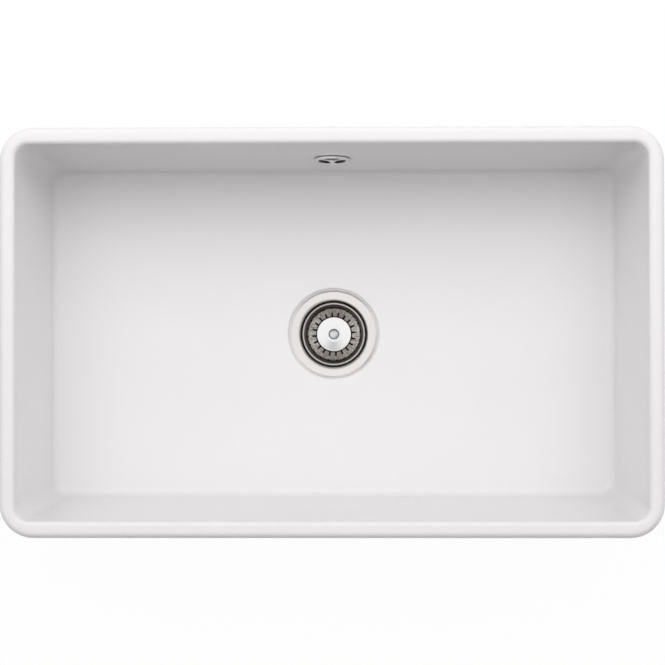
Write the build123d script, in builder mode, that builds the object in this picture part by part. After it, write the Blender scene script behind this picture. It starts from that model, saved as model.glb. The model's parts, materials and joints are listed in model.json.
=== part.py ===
from build123d import *
from math import cos, pi, radians, sin, sqrt, tan
import os

# Undermount kitchen sink: a fireclay bowl with a basket strainer waste and a hose overflow.
# Millimetres. The origin is the middle of the rim's flat top, +X right, +Y to the overflow wall, +Z up.

# Bowl
sink_width = 795.0
sink_breadth = 491.5
sink_height = 222.0
side_wall = 19.2
end_wall = 20.6
wall_draft_angle = 4.8
floor_thickness = 22.0
floor_fall = 2.5
outer_corner_radius = 42.0
opening_corner_radius = 17.5
floor_corner_radius = 20.0
outer_roll = 8.0
inner_roll = 6.0
foot_roll = 12.0
cove_radius = 12.0
waste_hole_radius = 45.5
recess_depth = 3.3
recess_roll = 3.0
recess_land = 0.3
dish_margin = 3.0
recess_clearance = 1.5

# Strainer cup
flange_radius = 57.0
flange_lip_width = 2.6
flange_lip_drop = 1.4
flange_lip_roll = 1.0
cup_sheet = 1.0
cup_mouth_radius = 43.6
cup_mouth_roll = 3.5
cup_wall_lean = 1.2
cup_seat_depth = 40.0
cup_seat_drop = 10.0
cup_sump_depth = 6.5
cup_corner_roll = 2.5
drain_hole_radius = 5.0
drain_hole_count = 8
drain_ring_radius = 20.0
flange_seal_thickness = 1.5
flange_seal_width = 6.7
flange_seal_inset = 3.0

# Waste body under the bowl
body_seal_thickness = 3.0
body_seal_width = 9.0
body_flange_thickness = 4.0
body_flange_width = 7.0
body_wall = 3.0
body_cup_gap = 2.4
body_shoulder_drop = 2.0
body_chamber_depth = 18.0
body_hub_height = 22.0
body_hub_wall = 2.9
body_rib_count = 4
body_rib_thickness = 3.0
body_rib_drop = 4.0
outlet_thread_radius = 23.9
outlet_thread_length = 20.0
outlet_wall = 3.9
insert_wall = 3.0
insert_length = 16.0
centre_screw_radius = 6.0
centre_screw_head_radius = 9.0
centre_screw_head_height = 5.5
centre_screw_head_chamfer = 1.0
centre_screw_socket_radius = 4.2
centre_screw_socket_depth = 21.0
centre_screw_tip_gap = 0.5
driver_slot_width = 2.0
driver_slot_depth = 1.5
thread_clearance = 0.1

# Basket and its pull
basket_sheet = 0.9
basket_rim_gap = 2.2
basket_rim_wire = 1.35
basket_rim_depth = 9.0
basket_floor_depth = 35.0
basket_wall_lean = 4.6
basket_corner_roll = 4.0
basket_disc_radius = 22.8
basket_disc_rise = 6.0
basket_disc_lean = 0.4
basket_disc_dish = 1.5
basket_dish_radius = 10.0
basket_disc_roll = 1.2
slot_count = 20
slot_width = 2.4
slot_length = 6.0
slot_phase = 5.5
wall_hole_radius = 1.2
wall_hole_tilt = 135.0
knob_radius = 7.0
knob_height = 16.0
knob_foot_radius = 4.6
knob_neck_height = 3.0
knob_flare_height = 3.0
knob_crown = 3.0
knob_edge_roll = 2.0
post_radius = 2.5
post_grip = 10.0
post_tip_radius = 3.4
post_tip_length = 3.0
post_clearance = 0.1
plug_seal_thickness = 3.5
plug_seal_lift = 3.5
plug_seal_gap = 0.3
carrier_disc_radius = 30.0
carrier_disc_thickness = 1.5
carrier_hub_radius = 7.0
post_nut_across_flats = 10.0
post_nut_thickness = 3.0
bush_length = 14.0
bush_clearance = 0.15

# Overflow
overflow_depth = 103.0
overflow_hole_radius = 14.0
grille_radius = 23.0
grille_window_radius = 17.0
grille_thickness = 2.4
grille_edge_roll = 1.0
grille_spoke_width = 4.4
grille_spoke_thickness = 2.0
grille_spoke_count = 3
grille_spoke_phase = 30.0
grille_hub_radius = 6.0
front_seal_thickness = 0.6
front_seal_width = 5.5
front_seal_inset = 0.8
overflow_screw_radius = 2.5
overflow_screw_head_radius = 4.4
overflow_screw_head_height = 1.4
overflow_screw_slot = 1.2
overflow_screw_tip_gap = 1.0
back_seal_thickness = 2.5
elbow_plate_radius = 24.0
elbow_plate_thickness = 2.5
elbow_chamber_radius = 16.5
elbow_chamber_depth = 15.0
elbow_chamber_roll = 4.0
elbow_wall = 2.0
elbow_knee_drop = 15.0
elbow_neck_radius = 10.5
elbow_neck_reach = 2.0
elbow_boss_radius = 5.5
elbow_boss_setback = 0.5
overflow_insert_radius = 3.8
overflow_insert_length = 9.0

# Hose, its clip on the elbow and its union on the waste body
hose_bore_radius = 9.5
hose_valley_radius = 10.6
hose_crest_radius = 12.0
hose_cuff_radius = 11.3
hose_cuff_length = 26.0
hose_collar_radius = 13.0
hose_collar_thickness = 3.0
hose_bend_radius = 42.0
hose_rib_pitch = 4.6
hose_rib_flank = 0.9
hose_rib_crest = 1.6
barb_wall = 1.9
barb_length = 22.0
clip_band_thickness = 0.9
clip_band_width = 9.0
clip_wall_gap = 1.6
clip_housing_length = 11.0
clip_housing_depth = 6.0
clip_screw_radius = 2.0
clip_screw_length = 15.0
clip_screw_head_across_flats = 6.0
clip_screw_head_height = 3.0
union_spigot_radius = 13.2
union_spigot_length = 14.0
union_seal_thickness = 2.0
union_nut_wall = 3.3
union_nut_lip = 3.0
union_nut_cover = 9.0
union_nut_grips = 12
union_grip_radius = 2.0
union_grip_depth = 0.8
union_base_gap = 1.4
union_clearance = 0.3

# Half the height of the band in which an edge counts as lying at a level
level_band = 0.01

# Directions and levels worked out from the sizes above
draft = tan(radians(wall_draft_angle))
lip_gain = outer_roll * (1 / cos(radians(wall_draft_angle)) + draft - 1)
base_z = -sink_height
floor_z = base_z + floor_thickness
recess_radius = flange_radius + recess_clearance
recess_z = floor_z - floor_fall - recess_depth
flange_top = recess_z + flange_seal_thickness + cup_sheet


def outer_half(size, z):
    """Half of the bowl's outside at level z."""
    return size / 2 + lip_gain + z * draft


def inner_half(size, wall, z):
    """Half of the bowl's inside at level z, between two walls of a thickness."""
    return outer_half(size, z) - wall


def dish_level(radius):
    """Level of the dished floor at a distance from the waste's axis."""
    return floor_z - floor_fall * (1 - (radius / dish_radius) ** 2)


dish_radius = inner_half(sink_breadth, end_wall, floor_z) - cove_radius - dish_margin
recess_lip = min(recess_roll, recess_depth - recess_land)
roll_radius = recess_radius + recess_lip
roll_centre_z = dish_level(roll_radius) - recess_lip
dish_middle_radius = (dish_radius + roll_radius) / 2

# The overflow's plane lies on the back wall, with its normal into the basin and its local y up the wall
overflow_plane = Plane(
    origin=(0, inner_half(sink_breadth, end_wall, -overflow_depth), -overflow_depth),
    x_dir=(1, 0, 0),
    z_dir=(0, -cos(radians(wall_draft_angle)), sin(radians(wall_draft_angle))),
)
wall_thickness = end_wall * cos(radians(wall_draft_angle))

os.makedirs("parts", exist_ok=True)

# Bowl: a drafted block with rolled edges, a drafted basin with a cove, a dished floor and two holes
with BuildPart() as sink_bowl:
    with BuildSketch(Plane.XY):
        RectangleRounded(
            2 * outer_half(sink_width, 0), 2 * outer_half(sink_breadth, 0), outer_corner_radius
        )
    with BuildSketch(Plane.XY.offset(base_z)):
        RectangleRounded(
            2 * outer_half(sink_width, base_z),
            2 * outer_half(sink_breadth, base_z),
            outer_corner_radius + base_z * draft,
        )
    loft(ruled=True)
    fillet(sink_bowl.faces().sort_by(Axis.Z)[-1].edges(), outer_roll)
    fillet(sink_bowl.faces().sort_by(Axis.Z)[0].edges(), foot_roll)
    with BuildSketch(Plane.XY):
        RectangleRounded(
            2 * inner_half(sink_width, side_wall, 0),
            2 * inner_half(sink_breadth, end_wall, 0),
            opening_corner_radius,
        )
    with BuildSketch(Plane.XY.offset(floor_z)):
        RectangleRounded(
            2 * inner_half(sink_width, side_wall, floor_z),
            2 * inner_half(sink_breadth, end_wall, floor_z),
            floor_corner_radius,
        )
    loft(ruled=True, mode=Mode.SUBTRACT)
    rim_face = sink_bowl.faces().sort_by(Axis.Z)[-1]
    fillet(rim_face.inner_wires()[0].edges(), inner_roll)
    cove_edges = sink_bowl.edges().filter_by_position(Axis.Z, floor_z - level_band, floor_z + level_band)
    fillet(cove_edges, cove_radius)
    with BuildSketch(Plane.XZ):
        with BuildLine():
            ThreePointArc(
                (dish_radius, floor_z),
                (dish_middle_radius, dish_level(dish_middle_radius)),
                (roll_radius, dish_level(roll_radius)),
            )
            ThreePointArc(
                (roll_radius, dish_level(roll_radius)),
                (roll_radius - recess_lip * sqrt(0.5), roll_centre_z + recess_lip * sqrt(0.5)),
                (recess_radius, roll_centre_z),
            )
            Polyline(
                (recess_radius, roll_centre_z),
                (recess_radius, recess_z),
                (0, recess_z),
                (0, floor_z + floor_fall),
                (dish_radius, floor_z + floor_fall),
                (dish_radius, floor_z),
            )
        make_face()
    revolve(axis=Axis.Z, mode=Mode.SUBTRACT)
    with BuildSketch(Plane.XY.offset(base_z)):
        Circle(waste_hole_radius)
    extrude(amount=sink_height, mode=Mode.SUBTRACT)
    with BuildSketch(overflow_plane):
        Circle(overflow_hole_radius)
    extrude(amount=2 * end_wall, both=True, mode=Mode.SUBTRACT)
sink_bowl.part.label = "sink_bowl"
export_step(sink_bowl.part, "parts/sink_bowl.step")

# Strainer cup: one pressed sheet from the flange's lip down to the hub hole
seat_top_z = flange_top - cup_seat_depth
seat_foot_z = seat_top_z - cup_seat_drop
sump_z = seat_foot_z - cup_sump_depth
cup_foot_radius = cup_mouth_radius - cup_wall_lean
sump_radius = cup_foot_radius - cup_seat_drop
cup_bottom_z = sump_z - cup_sheet

with BuildPart() as strainer_cup:
    with BuildSketch(Plane.XZ):
        with BuildLine():
            FilletPolyline(
                (flange_radius, flange_top - flange_lip_drop),
                (flange_radius - flange_lip_width, flange_top),
                (cup_mouth_radius, flange_top),
                (cup_foot_radius, seat_top_z),
                (sump_radius, seat_foot_z),
                (sump_radius, sump_z),
                (centre_screw_radius + thread_clearance, sump_z),
                radius=[flange_lip_roll, cup_mouth_roll] + 3 * [cup_corner_roll],
            )
            offset(amount=cup_sheet, side=Side.LEFT)
        make_face()
    revolve(axis=Axis.Z)
    with BuildSketch(Plane.XY.offset(cup_bottom_z)):
        with PolarLocations(drain_ring_radius, drain_hole_count):
            Circle(drain_hole_radius)
    extrude(amount=2 * cup_sheet, mode=Mode.SUBTRACT)
strainer_cup.part.label = "strainer_cup"
export_step(strainer_cup.part, "parts/strainer_cup.step")

# Soft ring between the flange and the recess floor
with BuildPart() as flange_seal:
    with BuildSketch(Plane.XY.offset(recess_z)):
        Circle(flange_radius - flange_seal_inset)
        Circle(flange_radius - flange_seal_inset - flange_seal_width, mode=Mode.SUBTRACT)
    extrude(amount=flange_seal_thickness)
flange_seal.part.label = "flange_seal"
export_step(flange_seal.part, "parts/flange_seal.step")

# Waste body: flange, bowl, funnel and threaded outlet, with a ribbed hub and a side spigot
body_top_z = base_z - body_seal_thickness
body_inner_radius = cup_mouth_radius + cup_sheet + body_cup_gap
body_outer_radius = body_inner_radius + body_wall
body_flange_radius = body_outer_radius + body_flange_width
funnel_top_z = cup_bottom_z - body_shoulder_drop
funnel_foot_z = funnel_top_z - body_chamber_depth
outlet_bore_radius = outlet_thread_radius - outlet_wall
outlet_top_z = funnel_foot_z - body_wall
outlet_end_z = outlet_top_z - outlet_thread_length
insert_radius = centre_screw_radius + thread_clearance + insert_wall
insert_bottom_z = cup_bottom_z - insert_length
body_hub_radius = insert_radius + thread_clearance + body_hub_wall
hub_bottom_z = cup_bottom_z - body_hub_height
rib_top_z = cup_bottom_z - body_rib_drop
funnel_middle_radius = (body_inner_radius + body_outer_radius) / 2
outlet_middle_radius = outlet_thread_radius - outlet_wall / 2
union_nut_bore = union_spigot_radius + thread_clearance
union_nut_radius = union_nut_bore + union_nut_wall
hose_z = base_z - union_base_gap - union_nut_radius
union_y = body_flange_radius + union_spigot_length
union_plane = Plane(origin=(0, union_y, hose_z), x_dir=(1, 0, 0), z_dir=(0, 1, 0))
rib_wall_radius = funnel_middle_radius - (funnel_middle_radius - outlet_middle_radius) * (
    funnel_top_z - rib_top_z
) / (funnel_top_z - funnel_foot_z + body_wall / 2)

with BuildPart() as waste_body:
    with BuildSketch(Plane.XZ):
        with BuildLine():
            Polyline(
                (body_inner_radius, body_top_z),
                (body_flange_radius, body_top_z),
                (body_flange_radius, body_top_z - body_flange_thickness),
                (body_outer_radius, body_top_z - body_flange_thickness),
                (body_outer_radius, funnel_top_z),
                (outlet_thread_radius, outlet_top_z),
                (outlet_thread_radius, outlet_end_z),
                (outlet_bore_radius, outlet_end_z),
                (outlet_bore_radius, funnel_foot_z),
                (body_inner_radius, funnel_top_z),
                close=True,
            )
        make_face()
    revolve(axis=Axis.Z)
    with BuildSketch(union_plane):
        Circle(union_spigot_radius)
    extrude(amount=-(union_y - funnel_middle_radius))
    with BuildSketch(Plane.XY.offset(cup_bottom_z)):
        Circle(body_hub_radius)
    extrude(amount=-body_hub_height)
    for rib in range(body_rib_count):
        rib_angle = 2 * pi * (rib + 0.5) / body_rib_count
        rib_plane = Plane(
            origin=(0, 0, 0),
            x_dir=(cos(rib_angle), sin(rib_angle), 0),
            z_dir=(sin(rib_angle), -cos(rib_angle), 0),
        )
        with BuildSketch(rib_plane):
            with BuildLine():
                Polyline(
                    (0, rib_top_z),
                    (rib_wall_radius, rib_top_z),
                    (outlet_middle_radius, funnel_foot_z - body_wall / 2),
                    (outlet_middle_radius, hub_bottom_z),
                    (0, hub_bottom_z),
                    close=True,
                )
            make_face()
        extrude(amount=body_rib_thickness / 2, both=True)
    with BuildSketch(union_plane):
        Circle(hose_bore_radius)
    extrude(amount=-(union_y - body_inner_radius + body_wall), mode=Mode.SUBTRACT)
    with BuildSketch(Plane.XY.offset(cup_bottom_z)):
        Circle(insert_radius + thread_clearance)
    extrude(amount=-insert_length, mode=Mode.SUBTRACT)
waste_body.part.label = "waste_body"
export_step(waste_body.part, "parts/waste_body.step")

with BuildPart() as body_seal:
    with BuildSketch(Plane.XY.offset(body_top_z)):
        Circle(body_flange_radius)
        Circle(body_flange_radius - body_seal_width, mode=Mode.SUBTRACT)
    extrude(amount=body_seal_thickness)
body_seal.part.label = "body_seal"
export_step(body_seal.part, "parts/body_seal.step")

# Brass insert in the hub, and the hollow screw that pulls the cup down onto it
with BuildPart() as thread_insert:
    with BuildSketch(Plane.XY.offset(insert_bottom_z)):
        Circle(insert_radius)
        Circle(centre_screw_radius + thread_clearance, mode=Mode.SUBTRACT)
    extrude(amount=insert_length)
thread_insert.part.label = "thread_insert"
export_step(thread_insert.part, "parts/thread_insert.step")

screw_head_top_z = sump_z + centre_screw_head_height
screw_tip_z = insert_bottom_z + centre_screw_tip_gap

with BuildPart() as centre_screw:
    with BuildSketch(Plane.XY.offset(sump_z)):
        Circle(centre_screw_head_radius)
    extrude(amount=centre_screw_head_height)
    chamfer(centre_screw.edges().group_by(Axis.Z)[-1], centre_screw_head_chamfer)
    with BuildSketch(Plane.XY.offset(sump_z)):
        Circle(centre_screw_radius)
    extrude(amount=screw_tip_z - sump_z)
    with BuildSketch(Plane.XY.offset(screw_head_top_z)):
        Circle(centre_screw_socket_radius)
    extrude(amount=-centre_screw_socket_depth, mode=Mode.SUBTRACT)
    with BuildSketch(Plane.XY.offset(screw_head_top_z)):
        Rectangle(2 * centre_screw_head_radius, driver_slot_width)
        Rectangle(driver_slot_width, 2 * centre_screw_head_radius)
    extrude(amount=-driver_slot_depth, mode=Mode.SUBTRACT)
centre_screw.part.label = "centre_screw"
export_step(centre_screw.part, "parts/centre_screw.step")

# Basket: one pressed sheet with a rolled rim, radial slots, corner holes and a raised centre disc
basket_rim_z = flange_top - basket_rim_depth
basket_floor_z = flange_top - basket_floor_depth
disc_edge_z = basket_floor_z + basket_disc_rise
disc_centre_z = disc_edge_z - basket_disc_dish
cup_radius_at_rim = cup_mouth_radius - cup_wall_lean * basket_rim_depth / cup_seat_depth
basket_rim_radius = cup_radius_at_rim - basket_rim_gap - basket_rim_wire
basket_foot_radius = basket_rim_radius - basket_wall_lean
basket_hole_radius = post_radius + post_clearance
slot_ring_radius = basket_disc_radius + basket_disc_lean / 2 + slot_length / 2
corner_reach = basket_corner_roll * (1 - sqrt(0.5))

with BuildPart() as basket:
    with BuildSketch(Plane.XZ):
        with BuildLine():
            FilletPolyline(
                (basket_rim_radius - basket_sheet / 2, basket_rim_z),
                (basket_foot_radius, basket_floor_z),
                (basket_disc_radius + basket_disc_lean, basket_floor_z),
                (basket_disc_radius, disc_edge_z),
                (basket_dish_radius, disc_centre_z),
                (basket_hole_radius, disc_centre_z),
                radius=[basket_corner_roll] + 3 * [basket_disc_roll],
            )
            offset(amount=basket_sheet, side=Side.LEFT)
        make_face()
    revolve(axis=Axis.Z)
    with BuildSketch(Plane.XZ):
        with Locations((basket_rim_radius, basket_rim_z)):
            Circle(basket_rim_wire)
    revolve(axis=Axis.Z)
    with BuildSketch(Plane.XY.offset(basket_floor_z - 2 * basket_sheet)):
        with PolarLocations(slot_ring_radius, slot_count, start_angle=slot_phase):
            SlotOverall(slot_length, slot_width)
    extrude(amount=4 * basket_sheet, mode=Mode.SUBTRACT)
    with Locations((0, 0, basket_floor_z + corner_reach)):
        with PolarLocations(basket_foot_radius - corner_reach, slot_count, start_angle=slot_phase):
            Cylinder(
                wall_hole_radius,
                4 * basket_sheet,
                rotation=(0, wall_hole_tilt, 0),
                mode=Mode.SUBTRACT,
            )
basket.part.label = "basket"
export_step(basket.part, "parts/basket.step")

# Plug seal: a rubber disc whose edge follows the cup's seat, with its carrier above and its nut below
plug_seal_bottom_z = seat_foot_z + plug_seal_lift
plug_seal_top_z = plug_seal_bottom_z + plug_seal_thickness
seal_edge_gap = plug_seal_gap * sqrt(2)

with BuildPart() as plug_seal:
    with BuildSketch(Plane.XZ):
        with BuildLine():
            Polyline(
                (basket_hole_radius, plug_seal_bottom_z),
                (sump_radius + plug_seal_lift - seal_edge_gap, plug_seal_bottom_z),
                (sump_radius + plug_seal_lift + plug_seal_thickness - seal_edge_gap, plug_seal_top_z),
                (basket_hole_radius, plug_seal_top_z),
                close=True,
            )
        make_face()
    revolve(axis=Axis.Z)
plug_seal.part.label = "plug_seal"
export_step(plug_seal.part, "parts/plug_seal.step")

with BuildPart() as seal_carrier:
    with BuildSketch(Plane.XY.offset(plug_seal_top_z)):
        Circle(carrier_disc_radius)
    extrude(amount=carrier_disc_thickness)
    with BuildSketch(Plane.XY.offset(plug_seal_top_z)):
        Circle(carrier_hub_radius)
    extrude(amount=disc_centre_z - basket_sheet - plug_seal_top_z)
    with BuildSketch(Plane.XY.offset(plug_seal_top_z)):
        Circle(basket_hole_radius)
    extrude(amount=disc_centre_z - plug_seal_top_z, mode=Mode.SUBTRACT)
seal_carrier.part.label = "seal_carrier"
export_step(seal_carrier.part, "parts/seal_carrier.step")

nut_bottom_z = plug_seal_bottom_z - post_nut_thickness
bush_top_z = nut_bottom_z - post_clearance
bush_bottom_z = bush_top_z - bush_length
tip_top_z = bush_bottom_z - post_clearance

with BuildPart() as post_nut:
    with BuildSketch(Plane.XY.offset(nut_bottom_z)):
        RegularPolygon(post_nut_across_flats / 2, 6, major_radius=False)
        Circle(post_radius + thread_clearance, mode=Mode.SUBTRACT)
    extrude(amount=post_nut_thickness)
post_nut.part.label = "post_nut"
export_step(post_nut.part, "parts/post_nut.step")

# Post: runs from inside the knob to a snap tip in the screw's socket
with BuildPart() as basket_post:
    with BuildSketch(Plane.XY.offset(tip_top_z)):
        Circle(post_radius)
    extrude(amount=disc_centre_z + post_grip - tip_top_z)
    with BuildSketch(Plane.XY.offset(tip_top_z - post_tip_length)):
        Circle(post_tip_radius)
    extrude(amount=post_tip_length)
    chamfer(basket_post.edges().group_by(Axis.Z)[0], post_tip_radius - post_radius)
basket_post.part.label = "basket_post"
export_step(basket_post.part, "parts/basket_post.step")

with BuildPart() as detent_bush:
    with BuildSketch(Plane.XY.offset(bush_bottom_z)):
        Circle(centre_screw_socket_radius - bush_clearance)
        Circle(post_radius + post_clearance, mode=Mode.SUBTRACT)
    extrude(amount=bush_length)
detent_bush.part.label = "detent_bush"
export_step(detent_bush.part, "parts/detent_bush.step")

# Knob: a turned mushroom with a domed crown and a blind hole for the post
crown_z = disc_centre_z + knob_height - knob_crown
crown_radius = (knob_radius**2 + knob_crown**2) / (2 * knob_crown)

with BuildPart() as basket_knob:
    with BuildSketch(Plane.XZ):
        with BuildLine():
            Polyline(
                (0, disc_centre_z + knob_height),
                (0, disc_centre_z + post_grip),
                (post_radius + thread_clearance, disc_centre_z + post_grip),
                (post_radius + thread_clearance, disc_centre_z),
                (knob_foot_radius, disc_centre_z),
                (knob_foot_radius, disc_centre_z + knob_neck_height),
                (knob_radius, disc_centre_z + knob_neck_height + knob_flare_height),
                (knob_radius, crown_z),
            )
            RadiusArc((0, disc_centre_z + knob_height), (knob_radius, crown_z), crown_radius)
        make_face()
    revolve(axis=Axis.Z)
    crown_edges = basket_knob.edges().filter_by(GeomType.CIRCLE).filter_by_position(
        Axis.Z, crown_z - level_band, crown_z + level_band
    )
    fillet(crown_edges, knob_edge_roll)
basket_knob.part.label = "basket_knob"
export_step(basket_knob.part, "parts/basket_knob.step")

# Overflow grille: a ring, a hub and three spokes, set a little below the ring's face
with BuildPart() as overflow_front_seal:
    with BuildSketch(overflow_plane):
        Circle(grille_radius - front_seal_inset)
        Circle(grille_radius - front_seal_inset - front_seal_width, mode=Mode.SUBTRACT)
    extrude(amount=front_seal_thickness)
overflow_front_seal.part.label = "overflow_front_seal"
export_step(overflow_front_seal.part, "parts/overflow_front_seal.step")

spoke_face = front_seal_thickness + grille_spoke_thickness

with BuildPart() as overflow_grille:
    with BuildSketch(overflow_plane.offset(front_seal_thickness)):
        Circle(grille_radius)
    extrude(amount=grille_thickness)
    fillet(overflow_grille.faces().sort_by(Axis.Y)[0].edges(), grille_edge_roll)
    with BuildSketch(overflow_plane.offset(spoke_face)):
        Circle(grille_window_radius)
    extrude(amount=grille_thickness, mode=Mode.SUBTRACT)
    with BuildSketch(overflow_plane.offset(front_seal_thickness)):
        Circle(grille_window_radius)
        Circle(grille_hub_radius, mode=Mode.SUBTRACT)
        with PolarLocations(
            grille_window_radius / 2, grille_spoke_count, start_angle=grille_spoke_phase
        ):
            Rectangle(grille_window_radius, grille_spoke_width, mode=Mode.SUBTRACT)
    extrude(amount=grille_spoke_thickness, mode=Mode.SUBTRACT)
    with BuildSketch(overflow_plane.offset(front_seal_thickness)):
        Circle(overflow_screw_radius + thread_clearance)
    extrude(amount=grille_thickness, mode=Mode.SUBTRACT)
overflow_grille.part.label = "overflow_grille"
export_step(overflow_grille.part, "parts/overflow_grille.step")

# Behind the wall: a seal, the elbow's plate and chamber, and the boss that holds the insert
back_seal_face = -wall_thickness - back_seal_thickness
chamber_back = back_seal_face - elbow_chamber_depth
chamber_bore_radius = elbow_chamber_radius - elbow_wall
boss_front = back_seal_face - elbow_boss_setback
insert_back = boss_front - overflow_insert_length
screw_tip = insert_back + overflow_screw_tip_gap
elbow_knee_z = -overflow_depth - elbow_knee_drop
elbow_foot_z = -overflow_depth - elbow_plate_radius - elbow_neck_reach
barb_radius = hose_bore_radius - thread_clearance
clip_radius = hose_cuff_radius + thread_clearance + clip_band_thickness
hose_y = outer_half(sink_breadth, elbow_foot_z) + clip_wall_gap + clip_radius

with BuildPart() as overflow_back_seal:
    with BuildSketch(overflow_plane.offset(back_seal_face)):
        Circle(elbow_plate_radius - front_seal_inset)
        Circle(chamber_bore_radius, mode=Mode.SUBTRACT)
    extrude(amount=back_seal_thickness)
overflow_back_seal.part.label = "overflow_back_seal"
export_step(overflow_back_seal.part, "parts/overflow_back_seal.step")

with BuildPart() as overflow_elbow:
    with BuildSketch(overflow_plane.offset(back_seal_face)):
        Circle(elbow_chamber_radius)
    extrude(amount=-elbow_chamber_depth)
    fillet(overflow_elbow.faces().sort_by(Axis.Y)[-1].edges(), elbow_chamber_roll)
    with BuildSketch(overflow_plane.offset(back_seal_face)):
        Circle(elbow_plate_radius)
    extrude(amount=-elbow_plate_thickness)
    with Locations((0, hose_y, elbow_knee_z)):
        Sphere(elbow_neck_radius)
    with BuildSketch(Plane.XY.offset(elbow_foot_z)):
        with Locations((0, hose_y)):
            Circle(elbow_neck_radius)
    extrude(amount=elbow_knee_z - elbow_foot_z)
    with BuildSketch(Plane.XY.offset(elbow_foot_z)):
        with Locations((0, hose_y)):
            Circle(barb_radius)
    extrude(amount=-barb_length)
    with BuildSketch(overflow_plane.offset(chamber_back + elbow_wall)):
        Circle(chamber_bore_radius)
    extrude(amount=elbow_chamber_depth, mode=Mode.SUBTRACT)
    with Locations((0, hose_y, elbow_knee_z)):
        Sphere(barb_radius - barb_wall, mode=Mode.SUBTRACT)
    with BuildSketch(Plane.XY.offset(elbow_foot_z - barb_length)):
        with Locations((0, hose_y)):
            Circle(barb_radius - barb_wall)
    extrude(amount=elbow_knee_z - elbow_foot_z + barb_length, mode=Mode.SUBTRACT)
    with BuildSketch(overflow_plane.offset(chamber_back + elbow_wall / 2)):
        Circle(elbow_boss_radius)
    extrude(amount=boss_front - chamber_back - elbow_wall / 2)
    with BuildSketch(overflow_plane.offset(boss_front)):
        Circle(overflow_insert_radius + thread_clearance)
    extrude(amount=-overflow_insert_length, mode=Mode.SUBTRACT)
overflow_elbow.part.label = "overflow_elbow"
export_step(overflow_elbow.part, "parts/overflow_elbow.step")

with BuildPart() as overflow_insert:
    with BuildSketch(overflow_plane.offset(boss_front)):
        Circle(overflow_insert_radius)
        Circle(overflow_screw_radius + thread_clearance, mode=Mode.SUBTRACT)
    extrude(amount=-overflow_insert_length)
overflow_insert.part.label = "overflow_insert"
export_step(overflow_insert.part, "parts/overflow_insert.step")

with BuildPart() as overflow_screw:
    with BuildSketch(overflow_plane.offset(spoke_face)):
        Circle(overflow_screw_head_radius)
    extrude(amount=overflow_screw_head_height)
    fillet(overflow_screw.faces().sort_by(Axis.Y)[0].edges(), overflow_screw_head_height / 2)
    with BuildSketch(overflow_plane.offset(spoke_face)):
        Circle(overflow_screw_radius)
    extrude(amount=screw_tip - spoke_face)
    with BuildSketch(overflow_plane.offset(spoke_face + overflow_screw_head_height)):
        Rectangle(2 * overflow_screw_head_radius, overflow_screw_slot)
    extrude(amount=-overflow_screw_head_height / 2, mode=Mode.SUBTRACT)
overflow_screw.part.label = "overflow_screw"
export_step(overflow_screw.part, "parts/overflow_screw.step")

# Hose: down behind the wall, one bend, then forward under the base to the waste body's spigot
hose_end_y = union_y + union_seal_thickness
hose_drop = elbow_foot_z - hose_z - hose_bend_radius
hose_turn = hose_bend_radius * pi / 2
hose_run = hose_y - hose_bend_radius - hose_end_y
hose_length = hose_drop + hose_turn + hose_run
rib_count = round((hose_length - 2 * hose_cuff_length) / hose_rib_pitch)
rib_step = (hose_length - 2 * hose_cuff_length) / rib_count


def hose_plane(distance):
    """Plane square to the hose at a distance along it, with its x axis steady along +X."""
    if distance <= hose_drop:
        return Plane(origin=(0, hose_y, elbow_foot_z - distance), x_dir=(1, 0, 0), z_dir=(0, 0, -1))
    if distance >= hose_drop + hose_turn:
        ahead = distance - hose_drop - hose_turn
        return Plane(
            origin=(0, hose_y - hose_bend_radius - ahead, hose_z), x_dir=(1, 0, 0), z_dir=(0, -1, 0)
        )
    turned = (distance - hose_drop) / hose_bend_radius
    return Plane(
        origin=(
            0,
            hose_y - hose_bend_radius * (1 - cos(turned)),
            hose_z + hose_bend_radius * (1 - sin(turned)),
        ),
        x_dir=(1, 0, 0),
        z_dir=(0, -sin(turned), -cos(turned)),
    )


with BuildPart() as overflow_hose:
    for rib in range(rib_count):
        rib_start = hose_cuff_length + rib * rib_step
        with BuildSketch(hose_plane(rib_start)):
            Circle(hose_valley_radius)
        with BuildSketch(hose_plane(rib_start + hose_rib_flank)):
            Circle(hose_crest_radius)
        with BuildSketch(hose_plane(rib_start + hose_rib_flank + hose_rib_crest)):
            Circle(hose_crest_radius)
        with BuildSketch(hose_plane(rib_start + 2 * hose_rib_flank + hose_rib_crest)):
            Circle(hose_valley_radius)
    with BuildSketch(hose_plane(hose_length - hose_cuff_length)):
        Circle(hose_valley_radius)
    loft(ruled=True)
    with BuildSketch(hose_plane(0), hose_plane(hose_length - hose_cuff_length)):
        Circle(hose_cuff_radius)
    extrude(amount=hose_cuff_length)
    with BuildSketch(hose_plane(hose_length - hose_collar_thickness)):
        Circle(hose_collar_radius)
    extrude(amount=hose_collar_thickness)
    with BuildLine() as hose_route:
        FilletPolyline(
            (0, hose_y, elbow_foot_z),
            (0, hose_y, hose_z),
            (0, hose_end_y, hose_z),
            radius=[hose_bend_radius],
        )
    with BuildSketch(hose_plane(0)):
        Circle(hose_bore_radius)
    sweep(path=hose_route.wires()[0], mode=Mode.SUBTRACT)
overflow_hose.part.label = "overflow_hose"
export_step(overflow_hose.part, "parts/overflow_hose.step")

# Worm clip on the upper cuff: a band with a housing at its side, and the screw in the housing
clip_z = elbow_foot_z - barb_length / 2
clip_screw_x = clip_radius + clip_housing_depth / 2
clip_screw_plane = Plane(origin=(clip_screw_x, hose_y, clip_z), x_dir=(1, 0, 0), z_dir=(0, 1, 0))

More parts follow.
